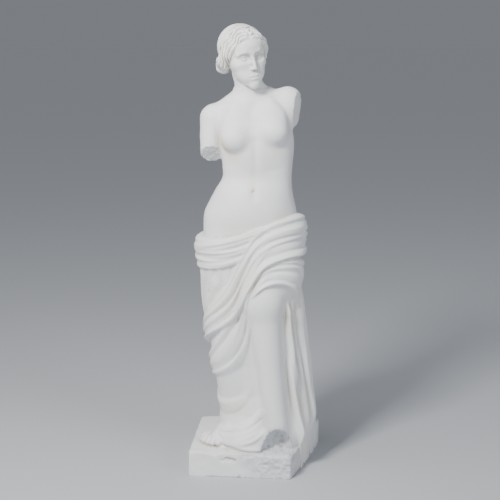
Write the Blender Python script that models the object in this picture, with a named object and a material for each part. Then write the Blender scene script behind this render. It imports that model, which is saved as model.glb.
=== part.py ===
"""Classical goddess figure, half draped, arms lost, cast in one with its low plinth.

The form is one field of signed distance, built from rounded solids, and meshed as one closed body.
Metres, +Z up, the figure faces -Y, origin at the middle of the underside.
"""
import math

import bmesh
import bpy
import numpy as np

# Driving dimensions, metres
FIGURE_HEIGHT = 0.566
PLINTH_WIDTH = 0.184
PLINTH_DEPTH = 0.158
PLINTH_HEIGHT = 0.034
FOLD_DEPTH = 0.0046

# Carriage of the head, degrees
HEAD_TURN = 25.0
HEAD_LEAN = -9.0
HEAD_NOD = 4.0

# Plinth plan, corners as shares of its width and depth, front left first and then anticlockwise
PLINTH_PLAN = [(-0.5, -0.40), (0.25, -0.5), (0.405, 0.04), (0.5, 0.42), (0.44, 0.5), (-0.43, 0.5)]
PLINTH_EDGE = 0.003
PLINTH_ROUND = 0.0015
DRAPE_OVER_PLINTH = 0.0025
DRAPE_FLARE = 0.35

# Mesh, the grid cell and the number of triangles kept
CELL = 0.0032
TRIANGLES = 8400
MERGE = 0.00001

# Room for the grid round the plinth, as a share of its sizes, and round the figure, in drawn units
PLINTH_ROOM = 0.53
FIGURE_X = (-86.0, 100.0)
FIGURE_Y = (-74.0, 86.0)
# The grid narrows over the head, (share of the whole height, share of the width)
GRID_SCALE = [(0.50, 1.0), (0.667, 0.82), (0.842, 0.78), (0.883, 0.52)]

# The figure is drawn DRAWN units tall from sole to crown, and unit is the real size of one of them
DRAWN = 566.0
UNIT = FIGURE_HEIGHT / DRAWN
FOLD = FOLD_DEPTH / UNIT
PLACE = (-0.046 * PLINTH_WIDTH, -0.038 * PLINTH_DEPTH, PLINTH_HEIGHT)

CAST_COLOUR = (0.84, 0.83, 0.79, 1.0)
CAST_ROUGHNESS = 0.7


# Rounded solids

def vec(*values):
    return np.array(values, np.float32)


def join(a, b, width):
    """Union with a fillet of about this width."""
    near = np.maximum(width - np.abs(a - b), 0) / width
    return np.minimum(a, b) - near * near * width * 0.25


def trim(a, b, width):
    """Intersection with a rounded edge of about this width."""
    return -join(-a, -b, width)


def ball(p, centre, radii):
    q = p - vec(*centre)
    r = vec(*radii)
    k0 = np.linalg.norm(q / r, axis=1)
    k1 = np.linalg.norm(q / (r * r), axis=1)
    return k0 * (k0 - 1) / np.maximum(k1, 1e-6)


def limb(p, points, radii, width=1.5):
    """Round tapered links through the points, joined by fillets."""
    whole = None
    for a, b, ra, rb in zip(points, points[1:], radii, radii[1:]):
        a, b = vec(*a), vec(*b)
        line = b - a
        t = np.clip(((p - a) @ line) / (line @ line), 0, 1)
        link = np.linalg.norm(p - a - t[:, None] * line, axis=1) - (ra + (rb - ra) * t)
        whole = link if whole is None else join(whole, link, width)
    return whole


def plane(p, point, normal):
    n = vec(*normal)
    return (p - vec(*point)) @ (n / np.linalg.norm(n))


def smooth(t, knots, values):
    """Cubic curve through the values at the rising knots."""
    knots = np.asarray(knots, np.float32)
    values = np.asarray(values, np.float32)
    slope = np.gradient(values, knots)
    t = np.clip(t, knots[0], knots[-1])
    i = np.clip(np.searchsorted(knots, t, side="right") - 1, 0, len(knots) - 2)
    w = knots[i + 1] - knots[i]
    s = (t - knots[i]) / w
    start = (1 + 2 * s) * (1 - s) ** 2 * values[i] + s * (1 - s) ** 2 * w * slope[i]
    end = s * s * (3 - 2 * s) * values[i + 1] + s * s * (s - 1) * w * slope[i + 1]
    return start + end


def tower(p, sections, power=2.3):
    """Upright body of rounded sections, each (z, x left, x right, y front, y back), z rising."""
    s = np.array(sections, np.float32)
    z = p[:, 2]
    left, right, front, back = (smooth(z, s[:, 0], s[:, c]) for c in (1, 2, 3, 4))
    dx = p[:, 0] - (left + right) / 2
    dy = p[:, 1] - (front + back) / 2
    share_x = np.abs(dx / ((right - left) / 2))
    share_y = np.abs(dy / ((back - front) / 2))
    share = (share_x ** power + share_y ** power) ** (1 / power)
    side = np.hypot(dx, dy) * (1 - 1 / np.maximum(share, 1e-3))
    return np.maximum(side, np.maximum(s[0, 0] - z, z - s[-1, 0]))


# Broken stone, seeded noise between -1 and 1

GRAIN = np.random.default_rng(7).random((32, 32, 32), np.float32) * 2 - 1


def noise(p, size):
    q = p / size + 100.37
    low = np.floor(q).astype(np.int64)
    f = (q - low).astype(np.float32)
    f = f * f * (3 - 2 * f)
    total = 0
    for dx in (0, 1):
        for dy in (0, 1):
            for dz in (0, 1):
                i, j, k = ((low + (dx, dy, dz)) & 31).T
                weight = (np.abs(1 - dx - f[:, 0]) * np.abs(1 - dy - f[:, 1]) * np.abs(1 - dz - f[:, 2]))
                total = total + GRAIN[i, j, k] * weight
    return total


def rough(p):
    return 0.9 * noise(p, 4.0) + 0.5 * noise(p, 1.8)


# Drapery folds, a map of heights over the angle round the figure (degrees, 0 at the front,
# rising to the figure's left) and the height z

ANGLE_STEP, Z_STEP = 0.3, 0.5
Z_LOW, Z_HIGH = -40.0, 335.0
ANGLES = round(360 / ANGLE_STEP)
LEVELS = round((Z_HIGH - Z_LOW) / Z_STEP)


def swell(t, first, last):
    """Rises over the first share of t and falls over the last share."""
    up = np.clip(t / max(first, 1e-4), 0, 1)
    down = np.clip((1 - t) / max(last, 1e-4), 0, 1)
    return (up * up * (3 - 2 * up)) * (down * down * (3 - 2 * down))


def along(points, t):
    points = np.asarray(points, np.float32)
    knots = np.linspace(0, 1, len(points))
    return np.stack([smooth(t, knots, points[:, c]) for c in (0, 1)], -1)


def lay_folds(folds, first, last, count, height, lift=(0.0, 0.0), ends=(0.1, 0.1), sides=(0.04, 0.04),
              roundness=0.75, wander=0.25, seed=1):
    """Lays a fan of folds between two border curves of (angle, z) points, over what is there.

    height is the fold's own height and lift that of the cloth under it, at the start and the end."""
    t = np.linspace(0, 1, 1100, dtype=np.float32)[:, None]
    s = np.linspace(0, 1, 900, dtype=np.float32)[None, :]
    a, b = along(first, t[:, 0]), along(last, t[:, 0])
    place = a[:, None, :] * (1 - s[..., None]) + b[:, None, :] * s[..., None]
    rng = np.random.default_rng(seed)
    phase = s * count
    for n in (1, 2, 3):
        across, down = rng.uniform(0.5, 1.0) * n, rng.uniform(0.6, 1.4) * n
        start, sway = rng.uniform(0, 2 * math.pi, 2)
        drift = 2.2 * np.sin(3 * down * t + sway)
        phase = phase + wander / n * np.sin(4 * math.pi * across * s + start + drift)
    each = 1 + 0.28 * np.sin(2.4 * np.floor(phase) + 1.7 * seed)
    ridge = np.abs(np.sin(math.pi * phase)) ** roundness
    base = lift[0] + (lift[1] - lift[0]) * t
    level = swell(t, *ends) * swell(s, *sides) ** 0.6 * (base + height * ridge * each)
    i = np.floor((place[..., 0] + 360) / ANGLE_STEP).astype(np.int64) % ANGLES
    j = np.clip(((place[..., 1] - Z_LOW) / Z_STEP).astype(np.int64), 0, LEVELS - 1)
    patch = np.zeros_like(folds)
    np.maximum.at(patch, (i, j), level.astype(np.float32))
    beside = np.maximum(np.roll(patch, 1, 0), np.roll(patch, -1, 0))
    np.maximum(folds, np.where(patch == 0, beside, patch), out=folds)


def soften(folds, passes=12):
    for _ in range(passes):
        folds = 0.25 * np.roll(folds, 1, 0) + 0.5 * folds + 0.25 * np.roll(folds, -1, 0)
        above = np.concatenate([folds[:, 1:], folds[:, -1:]], 1)
        below = np.concatenate([folds[:, :1], folds[:, :-1]], 1)
        folds = 0.25 * above + 0.5 * folds + 0.25 * below
    return folds


# Upper edge of the cloth round the hips, (angle, z)
CLOTH_TOP = [(-180, 300), (-135, 293), (-90, 288), (-45, 289), (0, 300), (30, 311), (66, 319), (100, 316),
             (140, 308), (180, 300)]


def cloth_top(angle):
    turn = (angle + 180) % 360 - 180
    return smooth(turn, *zip(*CLOTH_TOP))


def drapery_folds():
    """Heights in shares of the deepest fold."""
    folds = np.zeros((ANGLES, LEVELS), np.float32)
    # hanging folds at the back
    lay_folds(folds, [(120, 262), (121, 150), (124, 60), (126, -10)],
              [(258, 258), (258, 150), (252, 60), (246, -10)], 10, 0.95, ends=(0.05, 0.0), wander=0.3, seed=3)
    # pipes at the figure's left side, flaring to the ground
    lay_folds(folds, [(38, 205), (38, 160), (40, 100), (44, 40), (50, -40)],
              [(124, 262), (124, 150), (126, 60), (128, -40)], 6, 1.6, ends=(0.14, 0.0), wander=0.18, seed=5)
    # right side, under the sweep
    lay_folds(folds, [(-112, 258), (-113, 160), (-112, 60), (-112, -10)],
              [(-40, 262), (-66, 205), (-90, 130), (-98, 20)], 6, 0.75, ends=(0.06, 0.0), wander=0.2, seed=8)
    # long shallow curves from the shin round to the right side
    lay_folds(folds, [(-14, 106), (-38, 74), (-68, 68), (-100, 90)],
              [(-10, 56), (-36, 30), (-66, 20), (-100, 26)], 2, 0.5, ends=(0.5, 0.1), sides=(0.2, 0.2),
              roundness=1.0, wander=0.1, seed=12)
    # folds over the instep
    lay_folds(folds, [(6, 66), (-18, 46), (-44, 30), (-70, 24)], [(4, 24), (-18, 10), (-46, 4), (-74, 2)],
              3, 0.6, lift=(0.1, 0.1), ends=(0.3, 0.1), sides=(0.15, 0.1), wander=0.2, seed=64)
    # hem over the bare foot
    lay_folds(folds, [(-84, 44), (-68, 27), (-48, 15), (-24, 8), (6, 5)],
              [(-84, 38), (-68, 21), (-48, 9), (-24, 2), (6, -1)], 1, 0.5, lift=(0.1, 0.1), ends=(0.1, 0.1),
              sides=(0.2, 0.1), roundness=1.0, wander=0.0, seed=61)
    # pleats under the roll, running in behind the sweep
    lay_folds(folds, [(-66, 250), (-70, 214), (-78, 180)], [(-12, 264), (-24, 232), (-46, 200)],
              4, 0.62, ends=(0.04, 0.1), sides=(0.1, 0.1), wander=0.25, seed=33)
    # second layer of the sweep, ending in a point at the right side
    lay_folds(folds, [(-18, 235), (-38, 190), (-66, 140), (-98, 116), (-128, 112)],
              [(-6, 180), (-22, 132), (-48, 102), (-92, 92), (-126, 94)],
              3, 0.75, lift=(0.1, 0.7), ends=(0.15, 0.16), sides=(0.1, 0.1), wander=0.15, seed=15)
    # arcs over the thigh from the sweep to the left side
    lay_folds(folds, [(-2, 246), (28, 263), (64, 262), (92, 246), (120, 190)],
              [(-10, 206), (12, 226), (34, 226), (54, 204), (74, 160)], 4, 0.9, lift=(0.1, 0.3),
              ends=(0.16, 0.12), sides=(0.06, 0.07), wander=0.18, seed=30)
    # roll round the hips, passing under the sweep
    roll_from, roll_to = 64, 386
    edge = [(a, float(cloth_top(a)) - 1) for a in np.linspace(roll_from, roll_to, 9)]
    lay_folds(folds, edge,
              [(64, 264), (110, 262), (150, 256), (200, 250), (242, 244), (285, 243), (330, 252), (386, 280)],
              3, 0.85, lift=(0.7, 0.7), ends=(0.02, 0.1), sides=(0.08, 0.07), wander=0.4, seed=47)
    # its upper folds, drawn in towards the sweep
    lay_folds(folds, [(238, 276), (262, 286), (300, 288), (340, 296), (386, 309)],
              [(238, 256), (270, 256), (304, 266), (340, 280), (386, 298)],
              3, 0.75, lift=(0.75, 0.95), ends=(0.22, 0.06), sides=(0.06, 0.12), wander=0.25, seed=51)
    # inner folds of the sweep, falling between the legs
    lay_folds(folds, [(30, 300), (4, 276), (-14, 236), (-30, 196), (-40, 150)],
              [(34, 268), (14, 250), (-4, 222), (-12, 190), (-16, 140)],
              3, 1.1, lift=(0.5, 0.1), ends=(0.1, 0.5), sides=(0.1, 0.14), wander=0.16, seed=26)
    # the sweep from the left hip, gathered at the centre and fanning to the right side
    lay_folds(folds, [(132, 304), (100, 314), (66, 318), (30, 310), (2, 292), (-22, 256), (-50, 208),
                      (-92, 166), (-128, 150)],
              [(132, 266), (100, 262), (70, 262), (40, 262), (14, 250), (-6, 222), (-30, 180),
               (-84, 138), (-124, 126)],
              5, 1.0, lift=(1.1, 0.55), ends=(0.16, 0.14), sides=(0.05, 0.06), wander=0.2, seed=21)
    return soften(folds)


FOLDS = drapery_folds()


def read_folds(angle, z):
    x = (angle + 360) / ANGLE_STEP
    y = np.clip((z - Z_LOW) / Z_STEP, 0, LEVELS - 1.001)
    i, j = np.floor(x).astype(np.int64), np.floor(y).astype(np.int64)
    fx, fy = (x - i).astype(np.float32), (y - j).astype(np.float32)
    i, after = i % ANGLES, (i + 1) % ANGLES
    low = FOLDS[i, j] * (1 - fx) + FOLDS[after, j] * fx
    high = FOLDS[i, j + 1] * (1 - fx) + FOLDS[after, j + 1] * fx
    return low * (1 - fy) + high * fy


# Parts of the figure, in drawn units, z = 0 at the sole

# Where the left foot and the hem over it are broken away
LOST_FOOT = (37, -64, 2)
LOST_SIZE = (22.5, 27, 29)
# The plinth's worn edge fades out this far from the break
BREAK_REACH = 29


def drapery(p, past_plinth):
    z = p[:, 2]
    d = tower(p, [
        (-40, -30, 98, -62, 84), (0, -36, 93, -52, 80), (40, -38, 86, -42, 74), (70, -39, 82, -38, 70),
        (100, -44, 79, -38, 66), (130, -49, 75, -38, 62), (160, -55, 71, -38, 59), (190, -60, 67, -39, 56),
        (220, -63, 64, -40, 54), (250, -65.5, 64, -42, 54), (275, -68, 68, -42, 54), (300, -65, 68, -40, 50),
        (322, -60, 64, -37, 44)], 2.2)
    d = trim(d, past_plinth + FOLD, 12)
    bent_leg = tower(p, [
        (-40, 24, 57, -63, -22), (18, 21, 54, -60, -23), (60, 14, 49.5, -58.5, -20),
        (110, 6.5, 45.5, -57, -17), (160, -2, 43, -57, -12), (205, -9, 43, -56, -6),
        (235, -10, 47, -51, 6), (265, -8, 56, -42, 22), (290, -6, 60, -36, 30)], 2.0)
    knee = ball(p, (17, -37, 202), (28, 23, 32))
    straight_leg = tower(p, [
        (-40, -38, -6, -24, 12), (40, -40, -4, -26, 12), (100, -48, -6, -34, 16), (160, -56, -6, -37, 20),
        (220, -60, 0, -37, 26), (280, -62, 2, -38, 30)], 2.15)
    hem = ball(p, (-3, -35, -2), (31, 26, 34))
    thigh = ball(p, (36, -18, 240), (31, 29, 46))
    d = join(join(join(d, straight_leg, 10), thigh, 12), join(bent_leg, knee, 6), 9)
    between = limb(p, [(-16, -52, 196), (-11, -48, 160), (-6, -45, 110), (1, -47, 72), (8, -60, 40)],
                   [2, 9, 12, 11, 5])
    d = trim(d, -between, 10)
    d = join(d, hem, 12)
    d = join(d, ball(p, (-27, -23, 6), (18, 17, 21)), 7)
    axis = smooth(z, [-40, 100, 300], [26, 16, 0])
    angle = np.degrees(np.arctan2(p[:, 0] - axis, 6 - p[:, 1]))
    d = d - FOLD * read_folds(angle, z)
    gap = limb(p, [(50, -60, 196), (57, -61, 150), (63, -66, 90), (69, -72, 20)], [1.5, 5, 6, 7])
    d = trim(d, -gap, 5)
    lost_foot = ball(p, LOST_FOOT, LOST_SIZE) + 2.0 * rough(p)
    d = trim(d, -lost_foot, 1.5)
    d = trim(d, past_plinth, 2)
    return trim(d, z - cloth_top(angle), 3)


def torso(p):
    d = tower(p, [
        (280, -62, 62, -38, 46), (300, -63, 63, -39, 46), (320, -61, 62, -38, 42), (334, -54.5, 59, -36, 37),
        (350, -46, 56, -34, 31), (366, -37, 55, -31, 27), (382, -37, 56, -31, 28), (400, -38, 57, -31, 32),
        (420, -40, 57, -29, 36), (440, -42, 53, -25, 38), (456, -42, 47, -20, 36), (468, -34, 38, -15, 30),
        (480, -20, 22, -10, 22)], 2.5)
    belly = ball(p, (1, -22, 322), (36, 18, 32))
    ribs = ball(p, (9, -2, 408), (44, 33, 44))
    d = join(join(d, belly, 18), ribs, 10)
    d = join(d, limb(p, [(-46, 4, 442), (0, 6, 453), (48, 4, 462)], [17, 15, 17], 8), 14)
    for slope in ([(-2, 10, 486), (-24, 9, 464), (-46, 6, 450)], [(0, 10, 488), (24, 8, 474), (48, 6, 470)]):
        d = join(d, limb(p, slope, [9, 7, 10], 8), 10)
    for collar_bone in ([(-3, -14, 463), (-22, -14, 461), (-42, -6, 457)],
                        [(6, -14, 464), (26, -14, 467), (46, -6, 473)]):
        d = join(d, limb(p, collar_bone, [1.6, 1.8, 1.4], 4), 8)
    for x, z in ((-19, 420), (30, 428)):
        d = join(d, ball(p, (x * 0.95, -20, z + 12), (18, 9, 24)), 14)
        d = join(d, ball(p, (x, -25, z), (20, 17.5, 19)), 6)
    for x, z in ((-24, 436), (30, 444)):
        d = join(d, ball(p, (x, 27, z), (17, 9, 22)), 14)
    for x, z in ((-27, 290), (28, 294)):
        d = join(d, ball(p, (x, 26, z), (32, 26, 32)), 10)
    spine = limb(p, [(3, 44, 470), (10, 42.5, 420), (10, 33.5, 372), (3, 47, 322)], [3, 4, 4, 3], 4)
    midline = limb(p, [(6, -37, 416), (7, -37.2, 390), (7, -36.8, 372), (5, -41.5, 345)],
                   [0.3, 1.3, 1.4, 0.8], 1)
    waist = limb(p, [(-26, -31.5, 378), (8, -38.5, 375), (42, -31, 379)], [1.2, 1.6, 1.2], 3)
    navel = ball(p, (4.5, -39, 351), (2.3, 5.5, 2.9))
    for groove, width in ((spine, 9), (midline, 9), (waist, 6), (navel, 2)):
        d = trim(d, -groove, width)
    return d


def neck(p):
    return limb(p, [(3, 10, 452), (0, 6, 478), (-6, 0, 506), (-8, 7, 523)], [20, 18.5, 17.5, 18], 4)


def right_arm(p):
    """Broken off above the elbow."""
    d = limb(p, [(-49, 3, 444), (-51, 0, 420), (-51, -6, 385)], [17.5, 15.5, 14.5])
    return trim(d, plane(p, (-51, -6, 399), (0, -0.66, -0.75)) + 0.8 * rough(p), 1.2)


def left_arm(p):
    """Broken off at the shoulder."""
    d = ball(p, (50, 3, 458), (22, 19, 27))
    return trim(d, plane(p, (62, 0, 458), (0.93, -0.34, -0.08)) + 0.75 * rough(p), 1.2)


# The head, in its own frame, 80 units from chin to crown, with the eyes half way up

HEAD_AT = (-10.0, -3.0, 526.0)


def to_head(p):
    turn, lean, nod = (math.radians(a) for a in (HEAD_TURN, HEAD_LEAN, HEAD_NOD))
    about_z = np.array([[math.cos(turn), -math.sin(turn), 0], [math.sin(turn), math.cos(turn), 0], [0, 0, 1]])
    about_y = np.array([[math.cos(lean), 0, math.sin(lean)], [0, 1, 0], [-math.sin(lean), 0, math.cos(lean)]])
    about_x = np.array([[1, 0, 0], [0, math.cos(nod), -math.sin(nod)], [0, math.sin(nod), math.cos(nod)]])
    return (p - vec(*HEAD_AT)) @ (about_z @ about_y @ about_x).astype(np.float32)


def face(p, half):
    """Calm and plain. half is p folded onto the figure's left half."""
    mask = tower(p, [
        (-41, -5.5, 5.5, -28, 6), (-38, -8.5, 8.5, -29.5, 8), (-33, -12.5, 12.5, -30, 10),
        (-27, -16, 16, -30, 12), (-18, -19.3, 19.3, -30, 12), (-8, -22.4, 22.4, -30.2, 12),
        (4, -23.6, 23.6, -30.8, 12),
        (14, -22.5, 22.5, -30.2, 12), (26, -18, 18, -26.5, 10)], 2.1)
    mask = trim(mask, plane(p, (0, -27, -40.6), (0, 0.36, -0.93)), 5)
    d = join(ball(p, (0, 3, 10), (25, 32, 27)), mask, 6)
    d = join(d, ball(half, (13.8, -18, -8), (8.5, 10.3, 7.5)), 7)
    d = join(d, ball(half, (9.5, -20, -21), (8.5, 8.3, 9)), 7)
    d = join(d, ball(p, (0, -20, 14), (19, 11, 11)), 8)
    d = join(d, limb(half, [(2.5, -29.8, 5.4), (9.5, -29.2, 7.6), (17.5, -24.8, 5.6)], [1.8, 2.0, 2.0], 2), 5)
    d = trim(d, -ball(half, (10.0, -32.6, 0.6), (7.6, 5.2, 4.7)), 3.5)
    d = join(d, limb(p, [(0, -29.2, 8), (0, -30.8, 0.5), (0, -34.6, -12.8)], [2.6, 2.4, 3.3], 1.5), 2.8)
    d = join(d, ball(p, (0, -26.5, -25), (9.5, 6.5, 5.5)), 4)
    return join(d, ball(p, (0, -26.2, -35.6), (7.2, 5.4, 5.2)), 4)


def hair(p, half):
    """Combed back from a centre parting in a wave over each ear to a knot at the nape."""
    cap = ball(p, (0, 4, 11), (28.6, 34, 29.3))
    wave = limb(half, [(2, -22.5, 27), (11, -21, 23.5), (18.5, -16, 15.5), (23, -8, 6), (25, 4, -4),
                       (21, 18, -12), (9, 30, -14)], [5, 6.3, 7.5, 8.2, 9.2, 9, 8], 1.5)
    knot = ball(p, (0, 37, -10), (12.5, 11.5, 12))
    d = join(join(cap, wave, 3), knot, 2)
    return trim(d, -ball(p, (0, -39, -15), (22, 26, 33.5)), 1.5)


def head(p):
    q = to_head(p)
    half = q * vec(0, 1, 1) + np.abs(q) * vec(1, 0, 0)
    return join(face(q, half), hair(q, half), 1)


# How far the foot runs down into the plinth
SUNK = 5.0


def right_foot(p):
    """Bare toes under the hem, turned out to the figure's right."""
    d = limb(p, [(-22, 0, 20), (-34, -16, 14), (-46, -26, 8)], [15, 13, 9.5], 3)
    d = join(d, ball(p, (-35, -33, -2), (11, 12, 8)), 3)
    for x, y, r in ((-43.5, -37, 5.6), (-51.5, -35, 4.7), (-57.5, -31, 4.3), (-62.5, -25.5, 3.9),
                    (-65.5, -19, 3.5)):
        toe = limb(p, [(x + 9, y + 13, 8), (x + 3, y + 5, 8), (x, y, r - 0.3)], [r + 0.6, r + 0.1, r], 0.5)
        d = join(d, toe, 0.4)
    return np.maximum(d, -SUNK - p[:, 2])


# Plinth and whole cast, in metres

def past_outline(q):
    """Distance outside the plinth's upright sides."""
    corners = [np.array((x * PLINTH_WIDTH, y * PLINTH_DEPTH)) for x, y in PLINTH_PLAN]
    d = None
    for a, b in zip(corners, corners[1:] + corners[:1]):
        along_side = (b - a) / np.linalg.norm(b - a)
        side = (q[:, 0] - a[0]) * along_side[1] - (q[:, 1] - a[1]) * along_side[0]
        d = side if d is None else trim(d, side, PLINTH_EDGE)
    return d


def plinth(q, outside):
    """Slightly worn, and broken away at the front right with the lost foot."""
    u = q / UNIT
    top = PLINTH_HEIGHT / UNIT
    worn = 0.5 * noise(u, 9) * np.clip(u[:, 2] / top * 3, 0, 1)
    d = trim(outside, q[:, 2] - PLINTH_HEIGHT, PLINTH_ROUND) / UNIT
    gone = np.linalg.norm(u - vec(*LOST_FOOT) - vec(PLACE[0], PLACE[1], 0.8 * PLACE[2]) / UNIT, axis=1)
    near_break = np.clip(1.9 - gone / BREAK_REACH, 0, 1)
    chamfer = (outside / UNIT + u[:, 2] - top) * 0.707 + 4.5 * near_break - 0.7
    return np.maximum(d + worn + 0.9 * near_break, chamfer) * UNIT


def statue(q):
    """Signed distance in metres, the ground at z = 0."""
    outside = past_outline(q)
    above_plinth = np.maximum(q[:, 2] - PLINTH_HEIGHT, 0)
    drape_limit = (outside - DRAPE_OVER_PLINTH - DRAPE_FLARE * above_plinth) / UNIT
    p = ((q - vec(*PLACE)) / UNIT).astype(np.float32)
    z = p[:, 2]
    d = np.full(len(p), DRAWN, np.float32)
    for part, low, high, width in (
            (right_foot, -60, 60, 1.5), (torso, 270, 600, 1.0), (neck, 440, 600, 7), (right_arm, 370, 490, 5),
            (left_arm, 370, 490, 7), (head, 470, 600, 2)):
        here = (z > low) & (z < high)
        d[here] = join(d[here], part(p[here]), width)
    here = z < 345
    d[here] = join(d[here], drapery(p[here], drape_limit[here]), 1.0)
    return join(d * UNIT, plinth(q, outside), PLINTH_ROUND)


# Meshing on a grid that narrows over the head

def grid_scale(z):
    levels, scales = zip(*GRID_SCALE)
    return np.interp(z / (FIGURE_HEIGHT + PLINTH_HEIGHT), levels, scales)


def unpinch(values, rounds=30):
    """Fills a corner of each grid face whose corners alternate, where the surface would touch itself."""
    for _ in range(rounds):
        filled = 0
        for u, v in ((0, 1), (1, 2), (2, 0)):
            corner = []
            for du, dv in ((0, 0), (1, 0), (1, 1), (0, 1)):
                part = [slice(None)] * 3
                part[u], part[v] = slice(du, values.shape[u] - 1 + du), slice(dv, values.shape[v] - 1 + dv)
                corner.append(values[tuple(part)])
            a, b, c, d = corner
            for p, q, r, s in ((a, b, c, d), (b, c, d, a)):
                pinched = (p < 0) & (r < 0) & (q > 0) & (s > 0)
                filled += pinched.sum()
                first = pinched & (q <= s)
                q[first] = -1e-5
                s[pinched & ~first] = -1e-5
        if not filled:
            break


def surface_net(field, low, high, cell, stride=4):
    """Vertices and quads of a closed mesh on field = 0."""
    levels = [low[2]]
    while levels[-1] < high[2] or (len(levels) - 1) % stride:
        levels.append(levels[-1] + cell * float(grid_scale(levels[-1])))
    z = np.array(levels, np.float32)
    scale = grid_scale(z)
    counts = [int(math.ceil((high[a] - low[a]) / cell / stride)) * stride + 1 for a in (0, 1)] + [len(z)]
    middle = [(low[a] + high[a]) / 2 for a in (0, 1)]
    shift = 1 - scale

    def place(i, j, k):
        x = middle[0] + (i - (counts[0] - 1) / 2) * cell * scale[k] + 2 * PLACE[0] * shift[k]
        y = middle[1] + (j - (counts[1] - 1) / 2) * cell * scale[k]
        return np.stack([x, y, z[k]], -1).astype(np.float32)

    # a coarse pass finds the blocks near the surface, so that only those are worked out in full
    axes = [np.arange(0, n, stride) for n in counts]
    i, j, k = np.meshgrid(*axes, indexing="ij")
    coarse = field(place(i.ravel(), j.ravel(), k.ravel())).reshape(i.shape)
    near = np.abs(coarse) < cell * scale[k] * stride * 1.8
    corners = [(a, b, c) for a in (0, 1) for b in (0, 1) for c in (0, 1)]
    size = [n - 1 for n in near.shape]
    block = np.zeros(size, bool)
    for a, b, c in corners:
        block |= near[a:a + size[0], b:b + size[1], c:c + size[2]]

    def fine(values):
        for axis in range(3):
            values = np.repeat(values, stride, axis)
        return values

    active = np.zeros(counts, bool)
    full = fine(block)
    for a, b, c in corners:
        active[a:a + full.shape[0], b:b + full.shape[1], c:c + full.shape[2]] |= full
    inside = fine(coarse < 0)[:counts[0], :counts[1], :counts[2]]
    values = np.where(inside, -1.0, 1.0).astype(np.float32)
    i, j, k = np.nonzero(active)
    values[i, j, k] = field(place(i, j, k))
    unpinch(values)
    inside = values < 0

    # one vertex in each cell that the surface crosses, at the mean of its edge crossings
    span = [n - 1 for n in counts]
    filled = sum(inside[a:a + span[0], b:b + span[1], c:c + span[2]].astype(np.int8) for a, b, c in corners)
    cells = np.nonzero((filled > 0) & (filled < 8))
    total, hits = 0, 0
    for corner in corners:
        for axis in range(3):
            if corner[axis]:
                continue
            other = list(corner)
            other[axis] = 1
            first = [c + o for c, o in zip(cells, corner)]
            second = [c + o for c, o in zip(cells, other)]
            va, vb = values[tuple(first)], values[tuple(second)]
            crossed = (va < 0) != (vb < 0)
            t = np.where(crossed, va / np.where(crossed, va - vb, 1), 0)[:, None]
            point = place(*first) * (1 - t) + place(*second) * t
            total = total + point * crossed[:, None]
            hits = hits + crossed
    vertices = (total / hits[:, None]).astype(np.float32)
    index = np.full(filled.shape, -1, np.int64)
    index[cells] = np.arange(len(vertices))

    # one quad round each grid edge that the surface crosses
    quads = []
    for axis in range(3):
        u, v = (axis + 1) % 3, (axis + 2) % 3
        first = [slice(1, -1)] * 3
        second = [slice(1, -1)] * 3
        first[axis], second[axis] = slice(0, -1), slice(1, None)
        a, b = inside[tuple(first)], inside[tuple(second)]
        for crossing, order in ((a & ~b, 1), (~a & b, -1)):
            edge = np.argwhere(crossing)
            edge[:, [u, v]] += 1
            ring = []
            for du, dv in ((0, 0), (-1, 0), (-1, -1), (0, -1)):
                cell_at = edge.copy()
                cell_at[:, u] += du
                cell_at[:, v] += dv
                ring.append(index[tuple(cell_at.T)])
            quads.append(np.stack(ring, 1)[:, ::order])
    return vertices, np.concatenate(quads)


def settle(field, points, reach, rounds=2, step=2e-5):
    """Moves points onto field = 0, each by at most reach in a round."""
    for _ in range(rounds):
        d = field(points)
        slope = np.stack([field(points + step * vec(*axis)) - d for axis in np.eye(3)], 1) / step
        move = -(d / np.maximum((slope * slope).sum(1), 0.15))[:, None] * slope
        size = np.linalg.norm(move, axis=1, keepdims=True)
        points = points + move * np.minimum(1, reach / np.maximum(size, 1e-9))
    return points


def new_object(name, mesh):
    obj = bpy.data.objects.new(name, mesh)
    bpy.context.scene.collection.objects.link(obj)
    return obj


def reduced(mesh, triangles):
    """The mesh reduced to about this many triangles."""
    obj = new_object("full", mesh)
    decimate = obj.modifiers.new("Decimate", "DECIMATE")
    decimate.ratio = triangles / (2 * len(mesh.polygons))
    bpy.context.view_layer.update()
    result = bpy.data.meshes.new_from_object(obj.evaluated_get(bpy.context.evaluated_depsgraph_get()))
    bpy.data.objects.remove(obj)
    return result


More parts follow.
